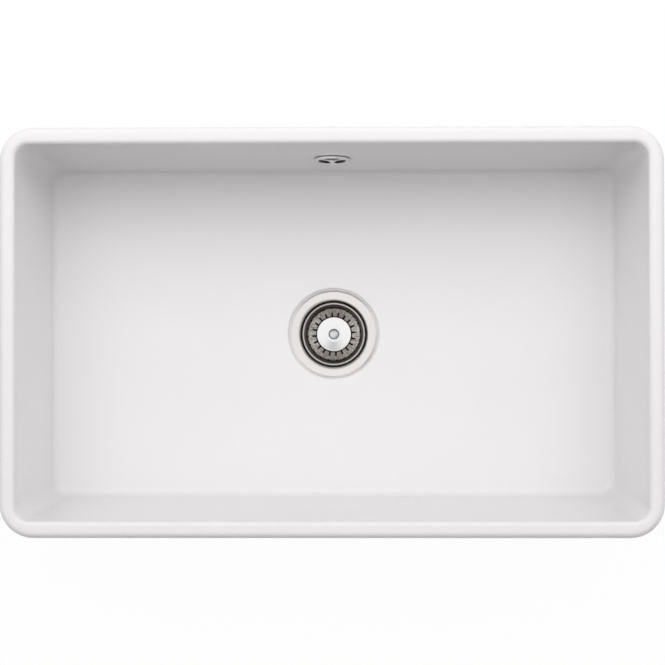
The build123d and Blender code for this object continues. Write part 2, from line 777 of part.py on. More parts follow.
with BuildPart() as hose_clip:
    with BuildSketch(Plane.XY.offset(clip_z - clip_band_width / 2)):
        with Locations((0, hose_y)):
            Circle(clip_radius)
        with Locations((clip_radius - clip_band_thickness, hose_y)):
            Rectangle(
                clip_housing_depth + clip_band_thickness,
                clip_housing_length,
                align=(Align.MIN, Align.CENTER),
            )
        with Locations((0, hose_y)):
            Circle(clip_radius - clip_band_thickness, mode=Mode.SUBTRACT)
    extrude(amount=clip_band_width)
    outer_edges = hose_clip.faces().sort_by(Axis.X)[-1].edges().filter_by(Axis.Y)
    fillet(outer_edges, clip_band_thickness)
    with BuildSketch(clip_screw_plane):
        Circle(clip_screw_radius + thread_clearance)
    extrude(amount=clip_housing_length, both=True, mode=Mode.SUBTRACT)
hose_clip.part.label = "hose_clip"
export_step(hose_clip.part, "parts/hose_clip.step")

with BuildPart() as hose_clip_screw:
    with BuildSketch(clip_screw_plane.offset(-clip_housing_length / 2 - clip_screw_head_height)):
        RegularPolygon(clip_screw_head_across_flats / 2, 6, major_radius=False)
    extrude(amount=clip_screw_head_height)
    with BuildSketch(clip_screw_plane.offset(-clip_housing_length / 2)):
        Circle(clip_screw_radius)
    extrude(amount=clip_screw_length)
hose_clip_screw.part.label = "hose_clip_screw"
export_step(hose_clip_screw.part, "parts/hose_clip_screw.step")

# Union on the waste body: a seal on the spigot's face, and a nut that pulls the hose's collar to it
collar_face = union_seal_thickness + hose_collar_thickness

with BuildPart() as union_seal:
    with BuildSketch(union_plane):
        Circle(hose_collar_radius)
        Circle(hose_bore_radius, mode=Mode.SUBTRACT)
    extrude(amount=union_seal_thickness)
union_seal.part.label = "union_seal"
export_step(union_seal.part, "parts/union_seal.step")

with BuildPart() as union_nut:
    with BuildSketch(union_plane.offset(-union_nut_cover)):
        Circle(union_nut_radius)
        with PolarLocations(union_nut_radius + union_grip_radius - union_grip_depth, union_nut_grips):
            Circle(union_grip_radius, mode=Mode.SUBTRACT)
    extrude(amount=union_nut_cover + collar_face + union_nut_lip)
    with BuildSketch(union_plane.offset(-union_nut_cover)):
        Circle(union_nut_bore)
    extrude(amount=union_nut_cover + collar_face, mode=Mode.SUBTRACT)
    with BuildSketch(union_plane.offset(collar_face)):
        Circle(hose_cuff_radius + union_clearance)
    extrude(amount=union_nut_lip, mode=Mode.SUBTRACT)
union_nut.part.label = "union_nut"
export_step(union_nut.part, "parts/union_nut.step")
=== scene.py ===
import json
from math import atan2, cos, degrees, hypot, pi, radians, sin, tan

import bmesh
import bpy
from mathutils import Matrix, Vector, noise


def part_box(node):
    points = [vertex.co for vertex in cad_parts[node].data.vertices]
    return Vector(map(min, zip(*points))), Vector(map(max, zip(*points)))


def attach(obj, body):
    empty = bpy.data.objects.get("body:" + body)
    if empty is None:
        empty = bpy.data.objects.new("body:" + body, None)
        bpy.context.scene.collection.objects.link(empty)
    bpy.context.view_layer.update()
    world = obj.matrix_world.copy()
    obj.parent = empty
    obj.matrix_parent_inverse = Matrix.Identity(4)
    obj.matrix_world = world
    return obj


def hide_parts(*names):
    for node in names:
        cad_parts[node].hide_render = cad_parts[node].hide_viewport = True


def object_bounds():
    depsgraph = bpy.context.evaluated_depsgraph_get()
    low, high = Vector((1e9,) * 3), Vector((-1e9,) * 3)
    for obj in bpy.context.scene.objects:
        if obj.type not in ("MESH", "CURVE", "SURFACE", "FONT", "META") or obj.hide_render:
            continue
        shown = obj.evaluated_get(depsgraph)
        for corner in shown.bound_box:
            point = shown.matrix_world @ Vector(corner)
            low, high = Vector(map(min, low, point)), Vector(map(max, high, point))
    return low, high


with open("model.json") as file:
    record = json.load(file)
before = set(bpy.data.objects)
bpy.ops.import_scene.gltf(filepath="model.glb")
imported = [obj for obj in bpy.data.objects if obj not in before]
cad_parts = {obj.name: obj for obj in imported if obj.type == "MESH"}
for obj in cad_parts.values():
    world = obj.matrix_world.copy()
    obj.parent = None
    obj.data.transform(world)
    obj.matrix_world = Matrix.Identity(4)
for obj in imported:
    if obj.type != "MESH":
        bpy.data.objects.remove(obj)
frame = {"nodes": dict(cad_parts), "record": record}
cad_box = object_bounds()
record = frame["record"]
body_of = {node: body for body, nodes in record["behaviour"]["bodies"].items() for node in nodes}
slot_of = {part["node"]: part["material_slot"] for part in record["subparts"]}

# Metres. The origin is the middle of the rim's flat top, +X right, +Y to the overflow wall, +Z up.
MM = 0.001

# Bowl, as in the frame
draft_angle = radians(4.8)
draft = tan(draft_angle)
bowl_low, bowl_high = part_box("sink_bowl")
side_wall = 19.2 * MM
end_wall = 20.6 * MM
outer_corner = 42.0 * MM
opening_corner = 17.5 * MM
floor_corner = 20.0 * MM
outer_roll = 8.0 * MM
inner_roll = 6.0 * MM
foot_roll = 12.0 * MM
cove = 12.0 * MM
floor_thickness = 22.0 * MM
floor_fall = 2.5 * MM
dish_margin = 3.0 * MM
waste_hole = 45.5 * MM
recess_gap = 1.5 * MM
recess_roll = 3.0 * MM
recess_depth = 3.3 * MM
base_z = bowl_low.z
floor_z = base_z + floor_thickness
lip_gain = outer_roll * (1 / cos(draft_angle) + draft - 1)
half_width = bowl_high.x + lip_gain
half_breadth = bowl_high.y + lip_gain
flange_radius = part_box("strainer_cup")[1].x
recess_radius = flange_radius + recess_gap
recess_z = floor_z - floor_fall - recess_depth
dish_radius = half_breadth - end_wall + floor_z * draft - cove - dish_margin

# Overflow
overflow_z = -103.0 * MM
overflow_y = half_breadth - end_wall + overflow_z * draft
overflow_hole = 14.0 * MM
overflow_hole_sides = 64

# Strainer cup and basket
flange_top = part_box("strainer_cup")[1].z
flange_band = 9.0 * MM
seat_depth = 40.0 * MM
seat_top_z = flange_top - seat_depth
trough_depth = 35.0 * MM
trough_z = flange_top - trough_depth
trough_radius = 35.2 * MM
rim_wire = 1.35 * MM
rim_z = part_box("basket")[1].z - rim_wire
disc_radius = 22.8 * MM

# Waste outlet and its thread. The body is cut back to thread_core, and the thread's own ring laps
# thread_lap into what is left of it.
outlet = next(mount for mount in record["mounts"] if mount["name"] == "waste_outlet")
outlet_radius = outlet["dims"]["r_mm"] * MM
outlet_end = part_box("waste_body")[0].z
outlet_top = outlet_end + outlet["dims"]["length_mm"] * MM
thread_pitch = 2.309 * MM
thread_depth = 1.3 * MM
thread_chamfer = 0.8 * MM
thread_wall = 0.3 * MM
thread_lap = 0.2 * MM
thread_steps = 10
thread_count = 160
thread_top = outlet_top - thread_pitch / 2
thread_core = outlet_radius - thread_depth - thread_wall
sleeve_clear = 2.0 * MM
sleeve_sides = 96

# Hose
hose_low, hose_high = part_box("overflow_hose")
hose_crest = 12.0 * MM
hose_valley = 10.6 * MM
hose_cuff = 11.3 * MM
hose_bore = 9.5 * MM
hose_collar = hose_high.x
hose_collar_length = 3.0 * MM
hose_cuff_length = 26.0 * MM
hose_bend = 42.0 * MM
hose_edge = 0.5 * MM
hose_upright_y = hose_high.y - hose_crest
hose_level_z = hose_low.z + hose_collar
hose_drop = hose_high.z - hose_level_z - hose_bend
hose_turn = hose_bend * pi / 2
hose_length = hose_drop + hose_turn + hose_upright_y - hose_bend - hose_low.y
hose_rib_count = 47
hose_rib_steps = 10
hose_rib_flat = 1.4
hose_bore_rings = 60
hose_sides = 56

# Clip on the hose's upper cuff, with angles in degrees
clip_edge = 0.2 * MM
clip_slot_count = 24
clip_slot_pitch = 10.0
clip_slot_slant = 8.0
clip_slot = (2.4 * MM, 1.1 * MM, 5.2 * MM)
clip_screw_edge = 0.25 * MM
clip_screw_slot = (8.0 * MM, 2.4 * MM, 1.0 * MM)

# Moulded pieces
waste_body_edge = 0.5 * MM
elbow_grain = 0.7 * MM
elbow_rounds = 4

# How finely the bowl is divided
corner_steps = 12
side_steps_x = 64
side_steps_y = 40
wall_rings = 26
arc_rings = 8
floor_rings = 14

# How meshes are cleaned, shaded and rounded
weld = 0.001 * MM
smooth_angle = radians(35.0)
flat_angle = radians(1.0)
edge_angle = radians(30.0)
edge_steps = 2

# Unevenness of the fired clay: heights, waves per metre, and the margins where it dies out
sag_height = 0.30 * MM
sag_scale = 7.0
ripple_height = 0.05 * MM
ripple_scale = 26.0
rim_margin = 2.0 * MM
flat_margin = 30.0 * MM
overflow_margin = 26.0 * MM


def new_object(name, data):
    """New object in the scene."""
    made = bpy.data.objects.new(name, data)
    bpy.context.scene.collection.objects.link(made)
    return made


def tidy_mesh(mesh):
    """Joins doubled points, turns the normals outward and shades smooth between sharp edges."""
    work = bmesh.new()
    work.from_mesh(mesh)
    bmesh.ops.remove_doubles(work, verts=work.verts, dist=weld)
    bmesh.ops.dissolve_degenerate(work, edges=work.edges, dist=weld)
    bmesh.ops.recalc_face_normals(work, faces=work.faces)
    work.to_mesh(mesh)
    work.free()
    mesh.polygons.foreach_set("use_smooth", [True] * len(mesh.polygons))
    mesh.set_sharp_from_angle(angle=smooth_angle)


def collect(name, verts, faces):
    """New piece of points and faces, cleaned and shaded."""
    mesh = bpy.data.meshes.new(name)
    mesh.from_pydata(verts, [], faces)
    tidy_mesh(mesh)
    return new_object(name, mesh)


def object_from(name, work):
    """New object of a finished bmesh."""
    mesh = bpy.data.meshes.new(name)
    work.to_mesh(mesh)
    work.free()
    return new_object(name, mesh)


def skin(name, rings):
    """Closed skin through a list of closed rings of points, with the last ring joined to the first."""
    count = len(rings[0])
    faces = []
    for i in range(len(rings)):
        a = i * count
        b = (i + 1) % len(rings) * count
        for j in range(count):
            k = (j + 1) % count
            faces.append((a + j, a + k, b + k, b + j))
    return collect(name, [point for ring in rings for point in ring], faces)


def apply_modifiers(piece):
    """Replaces the piece's mesh by its evaluated one and clears its modifiers."""
    bpy.context.view_layer.update()
    shaped = bpy.data.meshes.new_from_object(
        piece.evaluated_get(bpy.context.evaluated_depsgraph_get())
    )
    piece.modifiers.clear()
    piece.data = shaped


def cut(piece, cutter):
    """Takes the cutter's shape out of the piece."""
    boolean = piece.modifiers.new("cut", "BOOLEAN")
    boolean.operation = "DIFFERENCE"
    boolean.solver = "EXACT"
    boolean.object = cutter
    apply_modifiers(piece)
    bpy.data.objects.remove(cutter)
    tidy_mesh(piece.data)


def place(piece, body, slot, material, *nodes):
    """Gives a piece its material, lets it ride on a body and stand for CAD nodes. The slot is not used."""
    piece.data.materials.clear()
    piece.data.materials.append(material)
    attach(piece, body)
    if nodes:
        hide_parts(*nodes)


def place_for(piece, node, material):
    """Lets a piece stand for one CAD node, on its body. The node's slot is passed on but not used."""
    place(piece, body_of[node], slot_of[node], material, node)


def arc(centre, radius, start, end, steps):
    """Points of an arc, angles in degrees, as (across, level) pairs."""
    turn = [radians(start + (end - start) * i / steps) for i in range(steps + 1)]
    return [(centre[0] + radius * cos(a), centre[1] + radius * sin(a)) for a in turn]


def turned_ring(centre, across, along, radius, count):
    """Circle of points round a centre, in the plane of two unit vectors."""
    turns = [2 * pi * step / count for step in range(count)]
    return [tuple(centre + (across * cos(turn) + along * sin(turn)) * radius) for turn in turns]


def plain_ring(radius, level, count):
    """Circle round the waste's axis at a level."""
    return turned_ring(Vector((0, 0, level)), Vector((1, 0, 0)), Vector((0, 1, 0)), radius, count)


def step_between(value, low, high):
    """Smooth step from 0 at low to 1 at high."""
    share = min(max((value - low) / (high - low), 0), 1)
    return share * share * (3 - 2 * share)


# Bowl
def bowl_ring(gain, level, corner, inset=(0, 0)):
    """Closed ring of the bowl: its half sizes grown by gain less an inset, at a level, corners rounded."""
    across = half_width + gain - inset[0]
    along = half_breadth + gain - inset[1]
    points = []
    quarters = ((1, 1, 0), (-1, 1, 90), (-1, -1, 180), (1, -1, 270))
    for index, (side_x, side_y, start) in enumerate(quarters):
        centre = (side_x * (across - corner), side_y * (along - corner))
        turned = arc(centre, corner, start, start + 90, corner_steps)
        points += turned
        next_x, next_y, next_start = quarters[(index + 1) % 4]
        goal_x = next_x * (across - corner) + corner * cos(radians(next_start))
        goal_y = next_y * (along - corner) + corner * sin(radians(next_start))
        last_x, last_y = turned[-1]
        steps = side_steps_x if index % 2 == 0 else side_steps_y
        for step in range(1, steps):
            share = step / steps
            points.append((last_x + (goal_x - last_x) * share, last_y + (goal_y - last_y) * share))
    return [(x, y, level) for x, y in points]


def circle_like(ring, radius, level):
    """Circle whose points lie in the same directions as those of a ring."""
    return [
        (radius * cos(atan2(y, x)), radius * sin(atan2(y, x)), level) for x, y, z in ring
    ]


def between(first, second, share):
    """Ring part of the way from one ring to another."""
    return [tuple(Vector(a).lerp(Vector(b), share)) for a, b in zip(first, second)]


def dish_level(radius):
    """Level of the dished floor at a distance from the waste's axis."""
    return floor_z - floor_fall * (1 - (radius / dish_radius) ** 2)


def wall_line(start, end):
    """Stops of a leaning wall between two levels, without its ends, as (gain, level) pairs."""
    levels = [start + (end - start) * step / wall_rings for step in range(1, wall_rings)]
    return [(level * draft, level) for level in levels]


def outer_rings():
    """Rings from the waste hole out under the base, up the outside and over the rim's outer roll."""
    lean = degrees(draft_angle)
    foot_z = base_z + foot_roll
    foot_gain = foot_z * draft - foot_roll / cos(draft_angle)
    foot = bowl_ring(foot_gain, base_z, outer_corner + foot_gain)
    hole = circle_like(foot, waste_hole, base_z)
    rings = [between(hole, foot, step / floor_rings) for step in range(floor_rings)]
    foot_arc = arc((foot_gain, foot_z), foot_roll, -90, -lean, arc_rings)
    roll_centre = (-outer_roll * (draft + 1 / cos(draft_angle)), -outer_roll)
    roll_arc = arc(roll_centre, outer_roll, -lean, 90, arc_rings)
    profile = foot_arc + wall_line(foot_arc[-1][1], roll_arc[0][1]) + roll_arc
    return rings + [bowl_ring(gain, level, outer_corner + gain) for gain, level in profile]


def inner_rings():
    """Rings from the rim's inner roll down the inside and round the cove to the floor."""
    lean = degrees(draft_angle)
    walls = (side_wall, end_wall)
    lip_centre = (inner_roll / cos(draft_angle) - inner_roll * draft, -inner_roll)
    lip_arc = arc(lip_centre, inner_roll, 90, 180 - lean, arc_rings)
    cove_z = floor_z + cove
    cove_centre = (cove_z * draft - cove / cos(draft_angle), cove_z)
    cove_arc = arc(cove_centre, cove, -lean, -90, arc_rings)
    rings = [bowl_ring(gain, level, opening_corner + gain, walls) for gain, level in lip_arc]
    for gain, level in wall_line(lip_arc[-1][1], cove_arc[0][1]):
        corner = opening_corner + (floor_corner - opening_corner) * level / floor_z
        rings.append(bowl_ring(gain, level, corner, walls))
    for gain, level in cove_arc:
        rings.append(bowl_ring(gain, level, floor_corner + gain - floor_z * draft, walls))
    return rings


def waste_rings(floor_edge):
    """Rings from the floor's edge over the dish and into the recess, back to the waste hole."""
    dish_edge = circle_like(floor_edge, dish_radius, floor_z)
    rings = [between(floor_edge, dish_edge, step / floor_rings) for step in range(1, floor_rings + 1)]
    roll_radius = recess_radius + recess_roll
    for step in range(1, floor_rings):
        radius = dish_radius + (roll_radius - dish_radius) * step / floor_rings
        rings.append(circle_like(floor_edge, radius, dish_level(radius)))
    roll_centre = (roll_radius, dish_level(roll_radius) - recess_roll)
    for radius, level in arc(roll_centre, recess_roll, 90, 180, arc_rings):
        rings.append(circle_like(floor_edge, radius, level))
    rings.append(circle_like(floor_edge, recess_radius, recess_z))
    rings.append(circle_like(floor_edge, waste_hole, recess_z))
    return rings


def settle_clay(mesh):
    """Moves the bowl's surface inward by a fraction of a millimetre, as fired clay lies."""
    settled = []
    for vertex in mesh.vertices:
        point = vertex.co
        sag = noise.noise(point * sag_scale) * sag_height
        ripple = noise.noise(point * ripple_scale) * ripple_height
        calm = step_between(-point.z, rim_margin, flat_margin)
        calm *= step_between(hypot(point.x, point.y), recess_radius, recess_radius + flat_margin)
        if point.y > 0:
            from_overflow = hypot(point.x, point.z - overflow_z)
            calm *= step_between(from_overflow, overflow_margin, overflow_margin + flat_margin)
        calm *= step_between(point.z - base_z, 0, foot_roll)
        settled.extend(point - vertex.normal * calm * (sag_height + ripple_height + sag + ripple) / 2)
    mesh.vertices.foreach_set("co", settled)


def rod(name, centre, direction, radius, length):
    """Closed cylinder along a direction, centred on a point, to cut with."""
    work = bmesh.new()
    bmesh.ops.create_cone(
        work,
        cap_ends=True,
        segments=overflow_hole_sides,
        radius1=radius,
        radius2=radius,
        depth=length,
    )
    turn = Vector(direction).to_track_quat("Z", "Y").to_matrix().to_4x4()
    work.transform(Matrix.Translation(centre) @ turn)
    return object_from(name, work)


def build_bowl(material):
    """The whole bowl as one skin, with the overflow's hole square to its wall."""
    inside = inner_rings()
    piece = skin("glazed_bowl", outer_rings() + inside + waste_rings(inside[-1]))
    settle_clay(piece.data)
    normal = (0, -cos(draft_angle), sin(draft_angle))
    cut(piece, rod("hole", (0, overflow_y, overflow_z), normal, overflow_hole, 4 * end_wall))
    place(piece, "sink", "glaze", material, "sink_bowl")


# Pieces under the bowl and in the waste
def copy_of(name, node):
    """New piece with the mesh of a CAD node."""
    source = frame["nodes"][node].data
    faces = [tuple(face.vertices) for face in source.polygons]
    return collect(name, [vertex.co.copy() for vertex in source.vertices], faces)


def softened(name, node, width):
    """Copy of a CAD node: its flat stretches become whole faces, and its sharp edges are rounded."""
    piece = copy_of(name, node)
    work = bmesh.new()
    work.from_mesh(piece.data)
    bmesh.ops.dissolve_limit(work, angle_limit=flat_angle, verts=work.verts, edges=work.edges)
    work.to_mesh(piece.data)
    work.free()
    bevel = piece.modifiers.new("edge", "BEVEL")
    bevel.width = width
    bevel.segments = edge_steps
    bevel.limit_method = "ANGLE"
    bevel.angle_limit = edge_angle
    bevel.use_clamp_overlap = False
    apply_modifiers(piece)
    tidy_mesh(piece.data)
    # Wide flat faces keep their own normals, so that their rounded edges don't shade across them
    piece.modifiers.new("normals", "WEIGHTED_NORMAL").keep_sharp = True
    apply_modifiers(piece)
    return piece


def build_elbow(material):
    """Overflow elbow as one moulded skin, with small fillets where its shapes meet."""
    piece = copy_of("moulded_elbow", "overflow_elbow")
    remesh = piece.modifiers.new("skin", "REMESH")
    remesh.mode = "VOXEL"
    remesh.voxel_size = elbow_grain
    piece.modifiers.new("smooth", "SMOOTH").iterations = elbow_rounds
    apply_modifiers(piece)
    tidy_mesh(piece.data)
    place_for(piece, "overflow_elbow", material)


def build_waste_body(material):
    """Waste body, cut back round its outlet to make room for the thread."""
    piece = softened("moulded_waste_body", "waste_body", waste_body_edge)
    outside = outlet_radius + sleeve_clear
    below = outlet_end - sleeve_clear
    profile = ((thread_core, below), (thread_core, thread_top), (outside, thread_top), (outside, below))
    cut(piece, skin("sleeve_cutter", [plain_ring(*stop, sleeve_sides) for stop in profile]))
    place_for(piece, "waste_body", material)


def thread_ring(level, depth):
    """Ring of the outlet's thread at a level: its radius rises and falls once round each turn."""
    points = []
    for step in range(thread_count):
        turn = step / thread_count
        wave = 0.5 - 0.5 * cos(2 * pi * (level / thread_pitch + turn))
        radius = outlet_radius - depth * wave
        points.append((radius * cos(2 * pi * turn), radius * sin(2 * pi * turn), level))
    return points


def build_thread(material):
    """Thread on the outlet, which fades out over its last turn at the top."""
    inner = thread_core - thread_lap
    length = thread_top - outlet_end - 2 * thread_chamfer
    rows = int(length / thread_pitch * thread_steps)
    rings = [plain_ring(inner, outlet_end, thread_count)]
    rings.append(plain_ring(outlet_radius - thread_depth, outlet_end, thread_count))
    for row in range(rows + 1):
        level = outlet_end + thread_chamfer + length * row / rows
        depth = thread_depth * step_between(thread_top - level, 0, thread_pitch)
        rings.append(thread_ring(level, depth))
    rings.append(plain_ring(outlet_radius, thread_top, thread_count))
    rings.append(plain_ring(inner, thread_top, thread_count))
    place(skin("outlet_thread", rings), "sink", "white_plastic", material)


def hose_frame(distance):
    """Middle of the hose at a distance along it, and the way to the outside of its bend."""
    if distance <= hose_drop:
        return Vector((0, hose_upright_y, hose_high.z - distance)), Vector((0, 1, 0))
    if distance >= hose_drop + hose_turn:
        ahead = distance - hose_drop - hose_turn
        return Vector((0, hose_upright_y - hose_bend - ahead, hose_level_z)), Vector((0, 0, -1))
    turned = (distance - hose_drop) / hose_bend
    y = hose_upright_y - hose_bend * (1 - cos(turned))
    z = hose_level_z + hose_bend * (1 - sin(turned))
    return Vector((0, y, z)), Vector((0, cos(turned), -sin(turned)))


def hose_ring(distance, radius):
    """Circle round the hose's middle at a distance along it."""
    middle, outward = hose_frame(distance)
    return turned_ring(middle, Vector((1, 0, 0)), outward, radius, hose_sides)


def build_hose(material):
    """Ribbed hose: cuff, rounded ribs down and round the bend, cuff and collar, and its bore."""
    ribbed = hose_length - 2 * hose_cuff_length
    foot = hose_length - hose_collar_length
    profile = [(0, hose_cuff - hose_edge), (hose_edge, hose_cuff)]
    profile.append((hose_cuff_length - hose_edge, hose_cuff))
    # A wave clipped at both ends gives each rib a flat crest and a flat valley
    for step in range(hose_rib_count * hose_rib_steps + 1):
        share = step / hose_rib_steps
        wave = min(max(hose_rib_flat * cos(2 * pi * share), -1), 1)
        rise = 0.5 - 0.5 * sin(wave * pi / 2)
        radius = hose_valley + (hose_crest - hose_valley) * rise
        profile.append((hose_cuff_length + ribbed * share / hose_rib_count, radius))
    profile.append((hose_length - hose_cuff_length + hose_edge, hose_cuff))
    profile.append((foot - hose_edge, hose_cuff))
    profile.append((foot, hose_collar - hose_edge))
    profile.append((foot + hose_edge, hose_collar))
    profile.append((hose_length - hose_edge, hose_collar))
    profile.append((hose_length, hose_collar - hose_edge))
    for step in range(hose_bore_rings + 1):
        profile.append((hose_length * (1 - step / hose_bore_rings), hose_bore))
    place_for(skin("ribbed_hose", [hose_ring(*stop) for stop in profile]), "overflow_hose", material)


def block(work, centre, turn, size):
    """Adds a box of a size to a mesh, turned and centred on a point."""
    made = bmesh.ops.create_cube(work, size=1.0)["verts"]
    bmesh.ops.scale(work, vec=size, verts=made)
    bmesh.ops.transform(work, matrix=Matrix.Translation(centre) @ turn, verts=made)


def build_clip(material):
    """Worm clip: a band with slanted slots, which run away from the housing both ways round."""
    piece = softened("slotted_clip", "hose_clip", clip_edge)
    low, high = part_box("hose_clip")
    middle = Vector((0, (low.y + high.y) / 2, (low.z + high.z) / 2))
    radius = (high.y - low.y) / 2
    slant = Matrix.Rotation(radians(clip_slot_slant), 4, "X")
    work = bmesh.new()
    for index in range(clip_slot_count):
        from_middle = (index - (clip_slot_count - 1) / 2) * clip_slot_pitch
        turn = Matrix.Rotation(radians(180 + from_middle), 4, "Z")
        centre = middle + turn.to_3x3() @ Vector((radius, 0, 0))
        block(work, centre, turn @ slant, clip_slot)
    cut(piece, object_from("slots", work))
    place_for(piece, "hose_clip", material)


def build_clip_screw(material):
    """Worm screw with a slot across its hexagonal head."""
    piece = softened("worm_screw", "hose_clip_screw", clip_screw_edge)
    low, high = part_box("hose_clip_screw")
    head = Vector(((low.x + high.x) / 2, low.y, (low.z + high.z) / 2))
    work = bmesh.new()
    block(work, head, Matrix.Identity(4), clip_screw_slot)
    cut(piece, object_from("slot", work))
    place_for(piece, "hose_clip_screw", material)


# Material nodes
def new_material(name, **constants):
    """Material with one Principled shader. Constants go to its sockets by name, with _ for a space."""
    made = bpy.data.materials.new(name)
    made.use_nodes = True
    shader = made.node_tree.nodes["Principled BSDF"]
    for socket, value in constants.items():
        shader.inputs[socket.replace("_", " ")].default_value = value
    return made, made.node_tree, shader


def feed(tree, shader, **sources):
    """Links outputs to the shader's sockets by name, with _ for a space."""
    for socket, source in sources.items():
        tree.links.new(source, shader.inputs[socket.replace("_", " ")])


def add(tree, kind, inputs=(), **settings):
    """Node of a kind, with settings, and with inputs given as {socket: value or output socket}."""
    node = tree.nodes.new("ShaderNode" + kind)
    for name, value in settings.items():
        setattr(node, name, value)
    for socket, value in dict(inputs).items():
        if isinstance(value, bpy.types.NodeSocket):
            tree.links.new(value, node.inputs[socket])
        else:
            node.inputs[socket].default_value = value
    return node


def calc(tree, operation, *values):
    """Output of a Math node."""
    return add(tree, "Math", enumerate(values), operation=operation).outputs[0]


def both(tree, first, second):
    """Where two masks meet."""
    return calc(tree, "MULTIPLY", first, second)


def normalized(tree, vector):
    """Vector of length 1."""
    return add(tree, "VectorMath", {0: vector}, operation="NORMALIZE").outputs["Vector"]


def facing(tree, first, second):
    """How far two vectors of length 1 point the same way, from -1 to 1."""
    return add(tree, "VectorMath", {0: first, 1: second}, operation="DOT_PRODUCT").outputs["Value"]


def axes(tree, vector=None):
    """X, Y and Z of a vector, or else of the object's own coordinates."""
    source = vector or add(tree, "TexCoord").outputs["Object"]
    return add(tree, "SeparateXYZ", {0: source}).outputs


def joined(tree, x, y, z):
    """Vector of three values."""
    return add(tree, "CombineXYZ", {0: x, 1: y, 2: z}).outputs[0]


def off_centre(tree, x, y):
    """Distance from where x and y are both 0."""
    squares = [calc(tree, "MULTIPLY", value, value) for value in (x, y)]
    return calc(tree, "SQRT", calc(tree, "ADD", *squares))


def around_axis(tree, squeeze):
    """Coordinates round the Z axis: distance, level, and the angle squeezed to a short length."""
    x, y, z = axes(tree)
    radius = off_centre(tree, x, y)
    angle = calc(tree, "MULTIPLY", calc(tree, "ARCTAN2", y, x), squeeze)
    return joined(tree, radius, z, angle), radius, z


def noise_at(tree, scale, detail=3.0, roughness=0.5, vector=None):
    """Noise value at a scale in waves per metre."""
    source = vector or add(tree, "TexCoord").outputs["Object"]
    inputs = {"Vector": source, "Scale": scale, "Detail": detail, "Roughness": roughness}
    return add(tree, "TexNoise", inputs).outputs["Fac"]


def span(tree, value, low, high):
    """Value from 0 to 1 mapped to low to high."""
    return add(tree, "MapRange", {"Value": value, "To Min": low, "To Max": high}).outputs[0]


def step_at(tree, value, low, high, way="SMOOTHSTEP"):
    """Step from 0 at low to 1 at high, smooth at both ends. With low above high it falls."""
    ends = {"Value": value, "From Min": low, "From Max": high}
    return add(tree, "MapRange", ends, interpolation_type=way).outputs[0]


def mix(tree, share, first, second):
    """First value where the share is 0, second where it is 1."""
    return add(tree, "Mix", {0: share, 2: first, 3: second}, data_type="FLOAT").outputs[0]


def blend(tree, share, first, second):
    """First colour where the share is 0, second where it is 1."""
    pair = [value if isinstance(value, bpy.types.NodeSocket) else (*value, 1) for value in (first, second)]
    return add(tree, "Mix", {0: share, 6: pair[0], 7: pair[1]}, data_type="RGBA").outputs[2]


def bump(tree, shader, *layers):
    """Bump from several (height, distance in metres) layers, one on the other."""
    below = {}
    for height, distance in layers:
        normal = add(tree, "Bump", {"Height": height, "Distance": distance, **below}).outputs["Normal"]
        below = {"Normal": normal}
    feed(tree, shader, Normal=normal)


# Colours, the darkest and the lightest of each
glaze_colours = ((0.775, 0.759, 0.765), (0.795, 0.779, 0.786))
clay_colours = ((0.50, 0.44, 0.36), (0.72, 0.66, 0.56))
# Painted shade for the clay in the overflow's hole
overflow_shade_colours = ((0.025, 0.022, 0.018), (0.07, 0.06, 0.05))
flange_colours = ((0.81, 0.778, 0.762), (0.91, 0.88, 0.865))
# Painted shade: the cup's drawn wall and its sump are darker than the flange
drawn_wall_shade_colours = ((0.26, 0.225, 0.21), (0.66, 0.60, 0.58))
sump_shade_colours = ((0.25, 0.23, 0.22), (0.42, 0.39, 0.37))
disc_colours = ((0.86, 0.855, 0.86), (0.95, 0.945, 0.95))
rim_colours = ((0.56, 0.53, 0.51), (0.82, 0.79, 0.77))
trough_colours = ((0.14, 0.115, 0.10), (0.73, 0.68, 0.64))
# Painted shade for the basket's wall inside
wall_shade_colours = ((0.055, 0.045, 0.038), (0.18, 0.155, 0.14))
outside_colours = ((0.44, 0.42, 0.41), (0.62, 0.60, 0.59))
# Painted shade for the sides of the basket's slots
slot_shade_colour = (0.02, 0.016, 0.014)
chrome_colours = ((0.70, 0.70, 0.71), (0.80, 0.80, 0.81))
steel_colours = ((0.52, 0.52, 0.53), (0.66, 0.66, 0.67))
brass_colours = ((0.60, 0.42, 0.16), (0.78, 0.60, 0.28))
rubber_colours = ((0.012, 0.012, 0.013), (0.030, 0.030, 0.031))
white_plastic_colours = ((0.74, 0.74, 0.72), (0.82, 0.82, 0.80))
grey_plastic_colours = ((0.50, 0.51, 0.52), (0.60, 0.61, 0.62))
dark_plastic_colours = ((0.012, 0.012, 0.013), (0.026, 0.026, 0.028))
nylon_colours = ((0.66, 0.64, 0.56), (0.78, 0.76, 0.68))

# Roughness, the smoothest and the dullest of each
glaze_roughness = (0.07, 0.13)
clay_roughness = 0.8
flange_roughness = (0.24, 0.50)
drawn_roughness = 0.75
trough_roughness = (0.28, 0.55)
disc_roughness = 0.16

# Where the glaze ends above the base, and where painted shade darkens the clay round the overflow
bare_band = 5.0 * MM
bare_fade = 0.6 * MM
bare_wander = 3.0 * MM
hole_shade_margin = 3.8 * MM
hole_shade_fade = 0.6 * MM

# Where one finish, painted shade or painted light of the waste turns into the next: first lengths and
# levels, then steps in how far a face is turned outward or down, in how worn the trough is, and in its
# painted reflection from front and back to the sides
mouth_start = 0.8 * MM
mouth_end = 2.6 * MM
mouth_fade = 1.0 * MM
seat_fade = 1.0 * MM
drawn_scatter = 0.6
